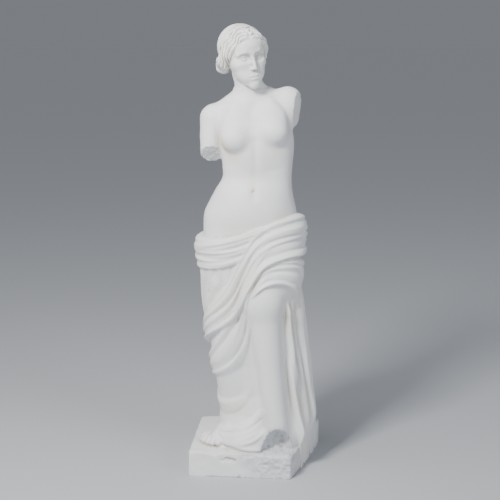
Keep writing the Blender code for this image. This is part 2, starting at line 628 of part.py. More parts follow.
def cast_mesh():
    below = 2.5 * CELL
    sides = [(PLINTH_ROOM * size, PLACE[axis] + UNIT * reach[0], PLACE[axis] + UNIT * reach[1])
             for axis, size, reach in ((0, PLINTH_WIDTH, FIGURE_X), (1, PLINTH_DEPTH, FIGURE_Y))]
    low = [min(-side, left) for side, left, right in sides] + [-below]
    high = [max(side, right) for side, left, right in sides] + [PLINTH_HEIGHT + FIGURE_HEIGHT + below]
    vertices, quads = surface_net(statue, low, high, CELL)
    vertices = settle(statue, vertices, CELL / 2)
    full = bpy.data.meshes.new("full")
    full.from_pydata(vertices.tolist(), [], quads.tolist())
    mesh = reduced(full, TRIANGLES)
    mesh.name = "statue"

    # cut flat at the ground, filled, and set over the origin
    bm = bmesh.new()
    bm.from_mesh(mesh)
    bmesh.ops.bisect_plane(bm, geom=bm.verts[:] + bm.edges[:] + bm.faces[:], plane_co=(0, 0, 0),
                           plane_no=(0, 0, 1), clear_inner=True, dist=MERGE)
    bmesh.ops.dissolve_degenerate(bm, edges=bm.edges[:], dist=MERGE)
    bmesh.ops.holes_fill(bm, edges=[e for e in bm.edges if e.is_boundary], sides=0)
    bmesh.ops.triangulate(bm, faces=bm.faces[:])
    bmesh.ops.recalc_face_normals(bm, faces=bm.faces[:])
    xs = [v.co.x for v in bm.verts]
    ys = [v.co.y for v in bm.verts]
    centre = (-(min(xs) + max(xs)) / 2, -(min(ys) + max(ys)) / 2, 0)
    bmesh.ops.translate(bm, verts=bm.verts[:], vec=centre)
    bm.to_mesh(mesh)
    bm.free()
    mesh.shade_smooth()
    return mesh


def cast_material():
    material = bpy.data.materials.new("cast_stone")
    material.use_nodes = True
    shader = material.node_tree.nodes["Principled BSDF"]
    shader.inputs["Base Color"].default_value = CAST_COLOUR
    shader.inputs["Roughness"].default_value = CAST_ROUGHNESS
    shader.inputs["Metallic"].default_value = 0.0
    return material


def main():
    for obj in list(bpy.data.objects):
        bpy.data.objects.remove(obj)
    figure = new_object("statue", cast_mesh())
    figure.data.materials.clear()
    figure.data.materials.append(cast_material())


main()
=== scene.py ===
import math

import bmesh
import bpy
import numpy as np
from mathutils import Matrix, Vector


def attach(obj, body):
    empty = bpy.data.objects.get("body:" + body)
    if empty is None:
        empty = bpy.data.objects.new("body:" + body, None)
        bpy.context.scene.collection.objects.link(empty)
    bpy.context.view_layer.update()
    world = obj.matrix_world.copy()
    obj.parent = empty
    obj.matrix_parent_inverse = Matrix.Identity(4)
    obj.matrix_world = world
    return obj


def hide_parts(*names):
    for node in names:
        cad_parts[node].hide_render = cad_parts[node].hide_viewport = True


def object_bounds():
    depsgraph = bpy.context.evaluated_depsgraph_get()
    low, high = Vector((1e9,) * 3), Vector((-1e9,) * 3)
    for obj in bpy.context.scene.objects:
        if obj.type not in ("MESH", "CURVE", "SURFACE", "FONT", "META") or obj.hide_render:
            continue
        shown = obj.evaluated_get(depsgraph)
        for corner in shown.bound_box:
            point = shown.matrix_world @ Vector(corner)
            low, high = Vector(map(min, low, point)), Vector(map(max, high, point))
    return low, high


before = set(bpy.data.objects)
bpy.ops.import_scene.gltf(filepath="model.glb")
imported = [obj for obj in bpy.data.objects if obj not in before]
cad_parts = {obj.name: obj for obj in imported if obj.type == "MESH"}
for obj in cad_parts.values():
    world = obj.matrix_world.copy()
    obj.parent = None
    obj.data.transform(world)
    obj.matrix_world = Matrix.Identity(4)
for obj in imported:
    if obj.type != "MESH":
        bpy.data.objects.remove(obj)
cad_low, cad_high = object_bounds()

# Driving dimensions, metres
FIGURE_HEIGHT = 0.566
PLINTH_WIDTH = 0.184
PLINTH_DEPTH = 0.158
PLINTH_HEIGHT = 0.034
FOLD_DEPTH = 0.0046

# Carriage of the head, degrees
HEAD_TURN = 25.0
HEAD_LEAN = -9.0
HEAD_NOD = 4.0

# Plinth plan, corners as shares of its width and depth, front left first and then anticlockwise
PLINTH_PLAN = [(-0.5, -0.40), (0.25, -0.5), (0.405, 0.04), (0.5, 0.42), (0.44, 0.5), (-0.43, 0.5)]
PLINTH_EDGE = 0.003
PLINTH_ROUND = 0.0015
DRAPE_OVER_PLINTH = 0.0025
DRAPE_FLARE = 0.35

CELL = 0.0013
TRIANGLES = 190000
MERGE = 0.00001

# Half the grid's width and depth at the ground, and the cells by which it goes past the cast's height
GRID_HALF_X = 0.098
GRID_HALF_Y = 0.086
GRID_MARGIN = 2.5
# The grid's narrowing, as (height on a cast GRID_TOTAL tall, share of its size at the ground)
GRID_TOTAL = 0.6
GRID_SCALE = [(0.30, 1.0), (0.40, 0.82), (0.505, 0.78), (0.53, 0.52)]
# Blocks count as near the surface up to this share of their own size
GRID_NEAR = 1.8
# The value given to a grid corner that is filled in
JUST_INSIDE = -1e-5

# The figure is drawn DRAWN units tall from sole to crown, and UNIT is the real size of one of them
DRAWN = 566.0
UNIT = FIGURE_HEIGHT / DRAWN
FOLD = FOLD_DEPTH / UNIT
PLACE = (-0.046 * PLINTH_WIDTH, -0.038 * PLINTH_DEPTH, PLINTH_HEIGHT)


# Rounded solids

def vec(*values):
    return np.array(values, np.float32)


def join(a, b, width):
    """Union with a fillet of about this width."""
    near = np.maximum(width - np.abs(a - b), 0) / width
    return np.minimum(a, b) - near * near * width * 0.25


def trim(a, b, width):
    """Intersection with a rounded edge of about this width."""
    return -join(-a, -b, width)


def ball(p, centre, radii):
    q = p - vec(*centre)
    r = vec(*radii)
    k0 = np.linalg.norm(q / r, axis=1)
    k1 = np.linalg.norm(q / (r * r), axis=1)
    return k0 * (k0 - 1) / np.maximum(k1, 1e-6)


def limb(p, points, radii, width=1.5):
    """Round tapered links through the points, joined by fillets."""
    whole = None
    for a, b, ra, rb in zip(points, points[1:], radii, radii[1:]):
        a, b = vec(*a), vec(*b)
        line = b - a
        t = np.clip(((p - a) @ line) / (line @ line), 0, 1)
        link = np.linalg.norm(p - a - t[:, None] * line, axis=1) - (ra + (rb - ra) * t)
        whole = link if whole is None else join(whole, link, width)
    return whole


def plane(p, point, normal):
    n = vec(*normal)
    return (p - vec(*point)) @ (n / np.linalg.norm(n))


def smooth(t, knots, values):
    """Cubic curve through the values at the rising knots."""
    knots = np.asarray(knots, np.float32)
    values = np.asarray(values, np.float32)
    slope = np.gradient(values, knots)
    t = np.clip(t, knots[0], knots[-1])
    i = np.clip(np.searchsorted(knots, t, side="right") - 1, 0, len(knots) - 2)
    w = knots[i + 1] - knots[i]
    s = (t - knots[i]) / w
    start = (1 + 2 * s) * (1 - s) ** 2 * values[i] + s * (1 - s) ** 2 * w * slope[i]
    end = s * s * (3 - 2 * s) * values[i + 1] + s * s * (s - 1) * w * slope[i + 1]
    return start + end


def tower(p, sections, power=2.3):
    """Upright body of rounded sections, each (z, x left, x right, y front, y back), z rising."""
    s = np.array(sections, np.float32)
    z = p[:, 2]
    left, right, front, back = (smooth(z, s[:, 0], s[:, c]) for c in (1, 2, 3, 4))
    dx = p[:, 0] - (left + right) / 2
    dy = p[:, 1] - (front + back) / 2
    share_x = np.abs(dx / ((right - left) / 2))
    share_y = np.abs(dy / ((back - front) / 2))
    share = (share_x ** power + share_y ** power) ** (1 / power)
    side = np.hypot(dx, dy) * (1 - 1 / np.maximum(share, 1e-3))
    return np.maximum(side, np.maximum(s[0, 0] - z, z - s[-1, 0]))


# Broken surfaces, seeded noise between -1 and 1 that repeats every GRAINS steps

GRAINS = 32
GRAIN = np.random.default_rng(7).random((GRAINS, GRAINS, GRAINS), np.float32) * 2 - 1
# Moves the noise off its own origin, so that no plane of the figure falls on its grid
GRAIN_SHIFT = 100.37


def noise(p, size):
    q = p / size + GRAIN_SHIFT
    low = np.floor(q).astype(np.int64)
    f = (q - low).astype(np.float32)
    f = f * f * (3 - 2 * f)
    total = 0
    for dx in (0, 1):
        for dy in (0, 1):
            for dz in (0, 1):
                i, j, k = ((low + (dx, dy, dz)) & (GRAINS - 1)).T
                weight = np.abs(1 - dx - f[:, 0]) * np.abs(1 - dy - f[:, 1]) * np.abs(1 - dz - f[:, 2])
                total = total + GRAIN[i, j, k] * weight
    return total


def rough(p):
    return 0.9 * noise(p, 4.0) + 0.5 * noise(p, 1.8)


# Drapery folds, a map of heights over the angle round the figure (degrees, 0 at the front,
# rising to the figure's left) and the height z

ANGLE_STEP, Z_STEP = 0.3, 0.5
Z_LOW, Z_HIGH = -40.0, 335.0
ANGLES = round(360 / ANGLE_STEP)
LEVELS = round((Z_HIGH - Z_LOW) / Z_STEP)
# Samples along and across each fan of folds, enough to leave no gap in the map
SAMPLES_ALONG = 1100
SAMPLES_ACROSS = 900
# How much the folds of one fan differ in height
FOLD_VARIETY = 0.28


def swell(t, first, last):
    """Rises over the first share of t and falls over the last share."""
    up = np.clip(t / max(first, 1e-4), 0, 1)
    down = np.clip((1 - t) / max(last, 1e-4), 0, 1)
    return (up * up * (3 - 2 * up)) * (down * down * (3 - 2 * down))


def along(points, t):
    points = np.asarray(points, np.float32)
    knots = np.linspace(0, 1, len(points))
    return np.stack([smooth(t, knots, points[:, c]) for c in (0, 1)], -1)


def lay_folds(folds, first, last, count, height, lift=(0.0, 0.0), ends=(0.1, 0.1), sides=(0.04, 0.04),
              roundness=0.75, wander=0.25, seed=1):
    """Lays a fan of folds between two border curves of (angle, z) points, over what is there.

    height is the fold's own height and lift that of the cloth under it, at the start and the end."""
    t = np.linspace(0, 1, SAMPLES_ALONG, dtype=np.float32)[:, None]
    s = np.linspace(0, 1, SAMPLES_ACROSS, dtype=np.float32)[None, :]
    a, b = along(first, t[:, 0]), along(last, t[:, 0])
    place = a[:, None, :] * (1 - s[..., None]) + b[:, None, :] * s[..., None]
    rng = np.random.default_rng(seed)
    phase = s * count
    for n in (1, 2, 3):
        across, down = rng.uniform(0.5, 1.0) * n, rng.uniform(0.6, 1.4) * n
        start, sway = rng.uniform(0, 2 * math.pi, 2)
        drift = 2.2 * np.sin(3 * down * t + sway)
        phase = phase + wander / n * np.sin(4 * math.pi * across * s + start + drift)
    each = 1 + FOLD_VARIETY * np.sin(2.4 * np.floor(phase) + 1.7 * seed)
    ridge = np.abs(np.sin(math.pi * phase)) ** roundness
    base = lift[0] + (lift[1] - lift[0]) * t
    level = swell(t, *ends) * swell(s, *sides) ** 0.6 * (base + height * ridge * each)
    i = np.floor((place[..., 0] + 360) / ANGLE_STEP).astype(np.int64) % ANGLES
    j = np.clip(((place[..., 1] - Z_LOW) / Z_STEP).astype(np.int64), 0, LEVELS - 1)
    patch = np.zeros_like(folds)
    np.maximum.at(patch, (i, j), level.astype(np.float32))
    beside = np.maximum(np.roll(patch, 1, 0), np.roll(patch, -1, 0))
    np.maximum(folds, np.where(patch == 0, beside, patch), out=folds)


def soften(folds, passes=12):
    for _ in range(passes):
        folds = 0.25 * np.roll(folds, 1, 0) + 0.5 * folds + 0.25 * np.roll(folds, -1, 0)
        above = np.concatenate([folds[:, 1:], folds[:, -1:]], 1)
        below = np.concatenate([folds[:, :1], folds[:, :-1]], 1)
        folds = 0.25 * above + 0.5 * folds + 0.25 * below
    return folds


# Upper edge of the cloth round the hips, (angle, z)
CLOTH_TOP = [(-180, 300), (-135, 293), (-90, 288), (-45, 289), (0, 300), (30, 311), (66, 319), (100, 316),
             (140, 308), (180, 300)]


def cloth_top(angle):
    turn = (angle + 180) % 360 - 180
    return smooth(turn, *zip(*CLOTH_TOP))


def drapery_folds():
    """Heights in shares of the deepest fold."""
    folds = np.zeros((ANGLES, LEVELS), np.float32)
    # hanging folds at the back
    lay_folds(folds, [(120, 262), (121, 150), (124, 60), (126, -10)],
              [(258, 258), (258, 150), (252, 60), (246, -10)], 10, 0.95, ends=(0.05, 0.0), wander=0.3, seed=3)
    # pipes at the figure's left side, flaring to the ground
    lay_folds(folds, [(38, 205), (38, 160), (40, 100), (44, 40), (50, -40)],
              [(124, 262), (124, 150), (126, 60), (128, -40)], 6, 1.6, ends=(0.14, 0.0), wander=0.18, seed=5)
    # right side, under the sweep
    lay_folds(folds, [(-112, 258), (-113, 160), (-112, 60), (-112, -10)],
              [(-40, 262), (-66, 205), (-90, 130), (-98, 20)], 6, 0.75, ends=(0.06, 0.0), wander=0.2, seed=8)
    # long shallow curves from the shin round to the right side
    lay_folds(folds, [(-14, 106), (-38, 74), (-68, 68), (-100, 90)],
              [(-10, 56), (-36, 30), (-66, 20), (-100, 26)], 2, 0.5, ends=(0.5, 0.1), sides=(0.2, 0.2),
              roundness=1.0, wander=0.1, seed=12)
    # folds over the instep
    lay_folds(folds, [(6, 66), (-18, 46), (-44, 30), (-70, 24)], [(4, 24), (-18, 10), (-46, 4), (-74, 2)],
              3, 0.6, lift=(0.1, 0.1), ends=(0.3, 0.1), sides=(0.15, 0.1), wander=0.2, seed=64)
    # hem over the bare foot
    lay_folds(folds, [(-84, 44), (-68, 27), (-48, 15), (-24, 8), (6, 5)],
              [(-84, 38), (-68, 21), (-48, 9), (-24, 2), (6, -1)], 1, 0.5, lift=(0.1, 0.1), ends=(0.1, 0.1),
              sides=(0.2, 0.1), roundness=1.0, wander=0.0, seed=61)
    # pleats under the roll, running in behind the sweep
    lay_folds(folds, [(-66, 250), (-70, 214), (-78, 180)], [(-12, 264), (-24, 232), (-46, 200)],
              4, 0.62, ends=(0.04, 0.1), sides=(0.1, 0.1), wander=0.25, seed=33)
    # second layer of the sweep, ending in a point at the right side
    lay_folds(folds, [(-18, 235), (-38, 190), (-66, 140), (-98, 116), (-128, 112)],
              [(-6, 180), (-22, 132), (-48, 102), (-92, 92), (-126, 94)],
              3, 0.75, lift=(0.1, 0.7), ends=(0.15, 0.16), sides=(0.1, 0.1), wander=0.15, seed=15)
    # arcs over the thigh from the sweep to the left side
    lay_folds(folds, [(-2, 246), (28, 263), (64, 262), (92, 246), (120, 190)],
              [(-10, 206), (12, 226), (34, 226), (54, 204), (74, 160)], 4, 0.9, lift=(0.1, 0.3),
              ends=(0.16, 0.12), sides=(0.06, 0.07), wander=0.18, seed=30)
    # roll round the hips, passing under the sweep
    roll_from, roll_to = 64, 386
    edge = [(a, float(cloth_top(a)) - 1) for a in np.linspace(roll_from, roll_to, 9)]
    lay_folds(folds, edge,
              [(64, 264), (110, 262), (150, 256), (200, 250), (242, 244), (285, 243), (330, 252), (386, 280)],
              3, 0.85, lift=(0.7, 0.7), ends=(0.02, 0.1), sides=(0.08, 0.07), wander=0.4, seed=47)
    # its upper folds, drawn in towards the sweep
    lay_folds(folds, [(238, 276), (262, 286), (300, 288), (340, 296), (386, 309)],
              [(238, 256), (270, 256), (304, 266), (340, 280), (386, 298)],
              3, 0.75, lift=(0.75, 0.95), ends=(0.22, 0.06), sides=(0.06, 0.12), wander=0.25, seed=51)
    # inner folds of the sweep, falling between the legs
    lay_folds(folds, [(30, 300), (4, 276), (-14, 236), (-30, 196), (-40, 150)],
              [(34, 268), (14, 250), (-4, 222), (-12, 190), (-16, 140)],
              3, 1.1, lift=(0.5, 0.1), ends=(0.1, 0.5), sides=(0.1, 0.14), wander=0.16, seed=26)
    # the sweep from the left hip, gathered at the centre and fanning to the right side
    lay_folds(folds, [(132, 304), (100, 314), (66, 318), (30, 310), (2, 292), (-22, 256), (-50, 208),
                      (-92, 166), (-128, 150)],
              [(132, 266), (100, 262), (70, 262), (40, 262), (14, 250), (-6, 222), (-30, 180),
               (-84, 138), (-124, 126)],
              5, 1.0, lift=(1.1, 0.55), ends=(0.16, 0.14), sides=(0.05, 0.06), wander=0.2, seed=21)
    return soften(folds)


FOLDS = drapery_folds()


def read_folds(angle, z):
    x = (angle + 360) / ANGLE_STEP
    y = np.clip((z - Z_LOW) / Z_STEP, 0, LEVELS - 1.001)
    i, j = np.floor(x).astype(np.int64), np.floor(y).astype(np.int64)
    fx, fy = (x - i).astype(np.float32), (y - j).astype(np.float32)
    i, after = i % ANGLES, (i + 1) % ANGLES
    low = FOLDS[i, j] * (1 - fx) + FOLDS[after, j] * fx
    high = FOLDS[i, j + 1] * (1 - fx) + FOLDS[after, j + 1] * fx
    return low * (1 - fy) + high * fy


# Parts of the figure, in drawn units, z = 0 at the sole

# Where the left foot and the hem over it are broken away
LOST_FOOT = (37, -64, 2)
LOST_SIZE = (22.5, 27, 29)
# The plinth's worn edge fades out this far from the break
BREAK_REACH = 29


def drapery(p, past_plinth):
    z = p[:, 2]
    d = tower(p, [
        (-40, -30, 98, -62, 84), (0, -36, 93, -52, 80), (40, -38, 86, -42, 74), (70, -39, 82, -38, 70),
        (100, -44, 79, -38, 66), (130, -49, 75, -38, 62), (160, -55, 71, -38, 59), (190, -60, 67, -39, 56),
        (220, -63, 64, -40, 54), (250, -65.5, 64, -42, 54), (275, -68, 68, -42, 54), (300, -65, 68, -40, 50),
        (322, -60, 64, -37, 44)], 2.2)
    d = trim(d, past_plinth + FOLD, 12)
    bent_leg = tower(p, [
        (-40, 24, 57, -63, -22), (18, 21, 54, -60, -23), (60, 14, 49.5, -58.5, -20),
        (110, 6.5, 45.5, -57, -17), (160, -2, 43, -57, -12), (205, -9, 43, -56, -6),
        (235, -10, 47, -51, 6), (265, -8, 56, -42, 22), (290, -6, 60, -36, 30)], 2.0)
    knee = ball(p, (17, -37, 202), (28, 23, 32))
    straight_leg = tower(p, [
        (-40, -38, -6, -24, 12), (40, -40, -4, -26, 12), (100, -48, -6, -34, 16), (160, -56, -6, -37, 20),
        (220, -60, 0, -37, 26), (280, -62, 2, -38, 30)], 2.15)
    hem = ball(p, (-3, -35, -2), (31, 26, 34))
    thigh = ball(p, (36, -18, 240), (31, 29, 46))
    d = join(join(join(d, straight_leg, 10), thigh, 12), join(bent_leg, knee, 6), 9)
    between = limb(p, [(-16, -52, 196), (-11, -48, 160), (-6, -45, 110), (1, -47, 72), (8, -60, 40)],
                   [2, 9, 12, 11, 5])
    d = trim(d, -between, 10)
    d = join(d, hem, 12)
    d = join(d, ball(p, (-27, -23, 6), (18, 17, 21)), 7)
    axis = smooth(z, [-40, 100, 300], [26, 16, 0])
    angle = np.degrees(np.arctan2(p[:, 0] - axis, 6 - p[:, 1]))
    d = d - FOLD * read_folds(angle, z)
    gap = limb(p, [(50, -60, 196), (57, -61, 150), (63, -66, 90), (69, -72, 20)], [1.5, 5, 6, 7])
    d = trim(d, -gap, 5)
    lost_foot = ball(p, LOST_FOOT, LOST_SIZE) + 2.0 * rough(p)
    d = trim(d, -lost_foot, 1.5)
    d = trim(d, past_plinth, 2)
    return trim(d, z - cloth_top(angle), 3)


def torso(p):
    d = tower(p, [
        (280, -62, 62, -38, 46), (300, -63, 63, -39, 46), (320, -61, 62, -38, 42), (334, -54.5, 59, -36, 37),
        (350, -46, 56, -34, 31), (366, -37, 55, -31, 27), (382, -37, 56, -31, 28), (400, -38, 57, -31, 32),
        (420, -40, 57, -29, 36), (440, -42, 53, -25, 38), (456, -42, 47, -20, 36), (468, -34, 38, -15, 30),
        (480, -20, 22, -10, 22)], 2.5)
    belly = ball(p, (1, -22, 322), (36, 18, 32))
    ribs = ball(p, (9, -2, 408), (44, 33, 44))
    d = join(join(d, belly, 18), ribs, 10)
    d = join(d, limb(p, [(-46, 4, 442), (0, 6, 453), (48, 4, 462)], [17, 15, 17], 8), 14)
    for slope in ([(-2, 10, 486), (-24, 9, 464), (-46, 6, 450)], [(0, 10, 488), (24, 8, 474), (48, 6, 470)]):
        d = join(d, limb(p, slope, [9, 7, 10], 8), 10)
    for collar_bone in ([(-3, -14, 463), (-22, -14, 461), (-42, -6, 457)],
                        [(6, -14, 464), (26, -14, 467), (46, -6, 473)]):
        d = join(d, limb(p, collar_bone, [1.6, 1.8, 1.4], 4), 8)
    for x, z in ((-19, 420), (30, 428)):
        d = join(d, ball(p, (x * 0.95, -20, z + 12), (18, 9, 24)), 14)
        d = join(d, ball(p, (x, -25, z), (20, 17.5, 19)), 6)
    for x, z in ((-24, 436), (30, 444)):
        d = join(d, ball(p, (x, 27, z), (17, 9, 22)), 14)
    for x, z in ((-27, 290), (28, 294)):
        d = join(d, ball(p, (x, 26, z), (32, 26, 32)), 10)
    spine = limb(p, [(3, 44, 470), (10, 42.5, 420), (10, 33.5, 372), (3, 47, 322)], [3, 4, 4, 3], 4)
    midline = limb(p, [(6, -37, 416), (7, -37.2, 390), (7, -36.8, 372), (5, -41.5, 345)],
                   [0.3, 1.3, 1.4, 0.8], 1)
    waist = limb(p, [(-26, -31.5, 378), (8, -38.5, 375), (42, -31, 379)], [1.2, 1.6, 1.2], 3)
    navel = ball(p, (4.5, -39, 351), (2.3, 5.5, 2.9))
    for groove, width in ((spine, 9), (midline, 9), (waist, 6), (navel, 2)):
        d = trim(d, -groove, width)
    return d


def neck(p):
    return limb(p, [(3, 10, 452), (0, 6, 478), (-6, 0, 506), (-8, 7, 523)], [20, 18.5, 17.5, 18], 4)


def right_arm(p):
    """Broken off above the elbow."""
    d = limb(p, [(-49, 3, 444), (-51, 0, 420), (-51, -6, 385)], [17.5, 15.5, 14.5])
    return trim(d, plane(p, (-51, -6, 399), (0, -0.66, -0.75)) + 0.8 * rough(p), 1.2)


def left_arm(p):
    """Broken off at the shoulder."""
    d = ball(p, (50, 3, 458), (22, 19, 27))
    return trim(d, plane(p, (62, 0, 458), (0.93, -0.34, -0.08)) + 0.75 * rough(p), 1.2)


# The head, in its own frame, 80 units from chin to crown, with the eyes half way up

HEAD_AT = (-10.0, -3.0, 526.0)
# The eye ball's centre on the figure's left, and half the width and height of the lids
EYE_AT = (10.5, -22.6, 0.0)
EYE_HALF_WIDTH = 5.5
LID_HALF_WIDTH = 6.0
LID_HALF_HEIGHT = 4.9


def to_head(p):
    turn, lean, nod = (math.radians(a) for a in (HEAD_TURN, HEAD_LEAN, HEAD_NOD))
    about_z = np.array([[math.cos(turn), -math.sin(turn), 0], [math.sin(turn), math.cos(turn), 0], [0, 0, 1]])
    about_y = np.array([[math.cos(lean), 0, math.sin(lean)], [0, 1, 0], [-math.sin(lean), 0, math.cos(lean)]])
    about_x = np.array([[1, 0, 0], [0, math.cos(nod), -math.sin(nod)], [0, math.sin(nod), math.cos(nod)]])
    return (p - vec(*HEAD_AT)) @ (about_z @ about_y @ about_x).astype(np.float32)


def face(p, half):
    """half is p folded onto the figure's left half."""
    d = ball(p, (0, 3, 10), (25, 32, 27))
    mask = tower(p, [
        (-41, -5.5, 5.5, -28, 6), (-38, -8.5, 8.5, -29.5, 8), (-33, -12.5, 12.5, -30, 10),
        (-27, -16, 16, -30, 12), (-18, -19.3, 19.3, -30, 12), (-8, -22.4, 22.4, -30.2, 12),
        (4, -23.6, 23.6, -30.8, 12), (14, -22.5, 22.5, -30.2, 12), (26, -18, 18, -26.5, 10)], 2.1)
    mask = trim(mask, plane(p, (0, -27, -40.6), (0, 0.36, -0.93)), 5)
    d = join(d, mask, 6)
    # cheek bones and jaw
    d = join(d, ball(half, (13.8, -18, -8), (8.5, 10.3, 7.5)), 7)
    d = join(d, ball(half, (9.5, -20, -21), (8.5, 8.3, 9)), 7)
    # forehead, brow and socket
    d = join(d, ball(p, (0, -20, 14), (19, 11, 11)), 8)
    d = join(d, limb(half, [(2.5, -29.8, 5.4), (9.5, -29.2, 7.6), (17.5, -24.8, 5.6)], [1.5, 1.7, 1.9], 2), 5)
    d = trim(d, -ball(half, (10.4, -31.6, 0.2), (8.0, 5.3, 4.9)), 4)
    d = trim(d, -ball(half, (4.9, -31.6, -0.6), (2.8, 3.6, 3.8)), 2.5)
    # eye ball and lids
    d = join(d, ball(half, EYE_AT, (5.6, 5.4, 5.3)), 0.5)
    lids = ball(half, EYE_AT, (6.4, 6.1, 6.0))
    x = (half[:, 0] - EYE_AT[0]) / EYE_HALF_WIDTH
    bow = np.maximum(1 - x * x, 0)
    z = half[:, 2] - EYE_AT[2] - 0.25 * x
    opening = np.maximum(z - 2.25 * bow ** 0.8, -z - 1.55 * bow)
    lids = trim(lids, -opening, 0.45)
    lids = np.maximum(lids, np.abs(z) - LID_HALF_HEIGHT)
    lids = np.maximum(lids, np.abs(x) * EYE_HALF_WIDTH - LID_HALF_WIDTH)
    d = join(d, lids, 1.1)
    # nose
    d = join(d, limb(p, [(0, -29.2, 8), (0, -30.6, 0.5), (0, -33.2, -7.5), (0, -34.4, -12.8)],
                     [2.4, 2.1, 2.4, 2.9], 1.5), 3.0)
    d = join(d, ball(half, (3.0, -31.4, -13.9), (2.2, 3.4, 2.2)), 2.2)
    d = trim(d, -ball(half, (2.1, -33.8, -16.6), (1.2, 2.0, 1.1)), 0.9)
    # mouth
    d = join(d, ball(p, (0, -24.4, -25), (12.5, 7.2, 8)), 5)
    d = trim(d, -limb(p, [(0, -33.1, -18.0), (0, -33.5, -20.6)], [0.5, 0.7], 0.5), 1.8)
    d = join(d, limb(half, [(0, -31.1, -23.1), (2.6, -31.0, -22.7), (5.6, -29.8, -23.4), (9.2, -27.1, -24.5)],
                     [1.8, 1.8, 1.45, 0.5], 0.4), 1.3)
    d = join(d, limb(half, [(0, -30.4, -27.3), (3.8, -29.9, -27.0), (8.4, -27.0, -25.1)],
                     [2.3, 2.0, 0.6], 0.4), 1.3)
    d = trim(d, -limb(half, [(0, -33.3, -25.1), (3.8, -32.4, -24.8), (8.6, -29.4, -24.7)],
                      [0.5, 0.4, 0.1], 0.5), 0.9)
    d = trim(d, -ball(half, (0, -33.4, -31.4), (5.5, 1.9, 1.9)), 2.5)
    # chin
    return join(d, ball(p, (0, -26.2, -35.6), (7.2, 5.4, 5.2)), 4)


# The fillet round the hair, a point and the normal of its plane, and half its width
FILLET = ((0, -10, 37), (0, 0.85, 0.53))
FILLET_HALF_WIDTH = 1.7
# The opening of the hair round the face
FACE_AT = (0, -39, -15)
FACE_SIZE = (22.0, 26, 33.5)


def strands(phase, depth, roundness=0.7):
    return depth * np.abs(np.sin(math.pi * phase)) ** roundness


def hair(p, half):
    """Combed back from a centre parting in waves over the ears to a knot at the nape."""
    behind = plane(p, *FILLET)
    ring = (half - vec(*FACE_AT)) / vec(*FACE_SIZE)
    out = np.linalg.norm(ring, axis=1) - 1
    turn = np.arctan2(ring[:, 0], ring[:, 2])
    # waves beside the face
    cap = ball(p, (0, 3.5, 10.5), (28.5, 34, 29))
    wave = limb(half, [(2, -22.5, 27), (11, -21, 23.5), (18.5, -16, 15.5), (23, -8, 6), (25, 4, -4),
                       (21, 18, -12), (9, 30, -14)], [5.5, 6.8, 8, 8.6, 9.4, 9, 8], 1.5)
    front = join(cap, wave, 4)
    flow = out * 5.0 + 0.36 * np.sin(8.5 * turn + 3 * out) + 0.12 * np.sin(19 * turn + 1.3)
    deep = np.clip(half[:, 0] / 3, 0.25, 1)
    front = front + 1.3 - strands(flow, 2.2, 0.8) * deep - strands(flow * 2 + 0.3, 0.4, 1.0)
    # dome behind the fillet
    q = p - vec(0, 8, 12)
    round_crown = np.arctan2(q[:, 0], q[:, 1] + 0.35 * q[:, 2])
    lean = 0.5 * np.sin(0.22 * np.linalg.norm(q, axis=1) + 4 * round_crown)
    fade = np.clip(np.hypot(q[:, 0], q[:, 1] + 0.35 * q[:, 2]) / 9, 0, 1)
    dome = ball(p, (0, 4, 11), (28.8, 34, 29.3)) + 0.5 * fade
    dome = dome - strands(round_crown * 7 + 0.25 * lean, 1.1, 1.0) * fade
    band = trim(np.abs(behind) - FILLET_HALF_WIDTH, ball(p, (0, 4, 11), (30.2, 35.2, 30.6)), 0.8)
    d = np.where(behind < 0, front, join(dome, front + 3.0 * np.clip(behind / 6, 0, 1), 1))
    d = join(d, band, 0.6)
    # knot
    knot = ball(p, (0, 37, -10), (12.5, 11.5, 12))
    coil = np.arctan2(p[:, 2] + 10, p[:, 0])
    away = np.hypot(p[:, 0], p[:, 2] + 10)
    knot = knot + 0.6 - strands(away / 3.4 + coil / (2 * math.pi), 1.7)
    d = join(d, knot, 2)
    return trim(d, -ball(p, FACE_AT, FACE_SIZE), 1.2)


def head(p):
    q = to_head(p)
    half = q * vec(0, 1, 1) + np.abs(q) * vec(1, 0, 0)
    return join(face(q, half), hair(q, half), 1)


# How far the foot runs down into the plinth
SUNK = 5.0


def right_foot(p):
    """Bare toes under the hem, turned out to the figure's right."""
    d = limb(p, [(-22, 0, 20), (-34, -16, 14), (-46, -26, 8)], [15, 13, 9.5], 3)
    d = join(d, ball(p, (-35, -33, -2), (11, 12, 8)), 3)
    for x, y, r in ((-43.5, -37, 5.6), (-51.5, -35, 4.7), (-57.5, -31, 4.3), (-62.5, -25.5, 3.9),
                    (-65.5, -19, 3.5)):
        toe = limb(p, [(x + 9, y + 13, 8), (x + 3, y + 5, 8), (x, y, r - 0.3)], [r + 0.6, r + 0.1, r], 0.5)
        d = join(d, toe, 0.4)
    return np.maximum(d, -SUNK - p[:, 2])


# Plinth and whole cast, in metres

def past_outline(q):
    """Distance outside the plinth's upright sides."""
    corners = [np.array((x * PLINTH_WIDTH, y * PLINTH_DEPTH)) for x, y in PLINTH_PLAN]
    d = None
    for a, b in zip(corners, corners[1:] + corners[:1]):
        along_side = (b - a) / np.linalg.norm(b - a)
        side = (q[:, 0] - a[0]) * along_side[1] - (q[:, 1] - a[1]) * along_side[0]
        d = side if d is None else trim(d, side, PLINTH_EDGE)
    return d


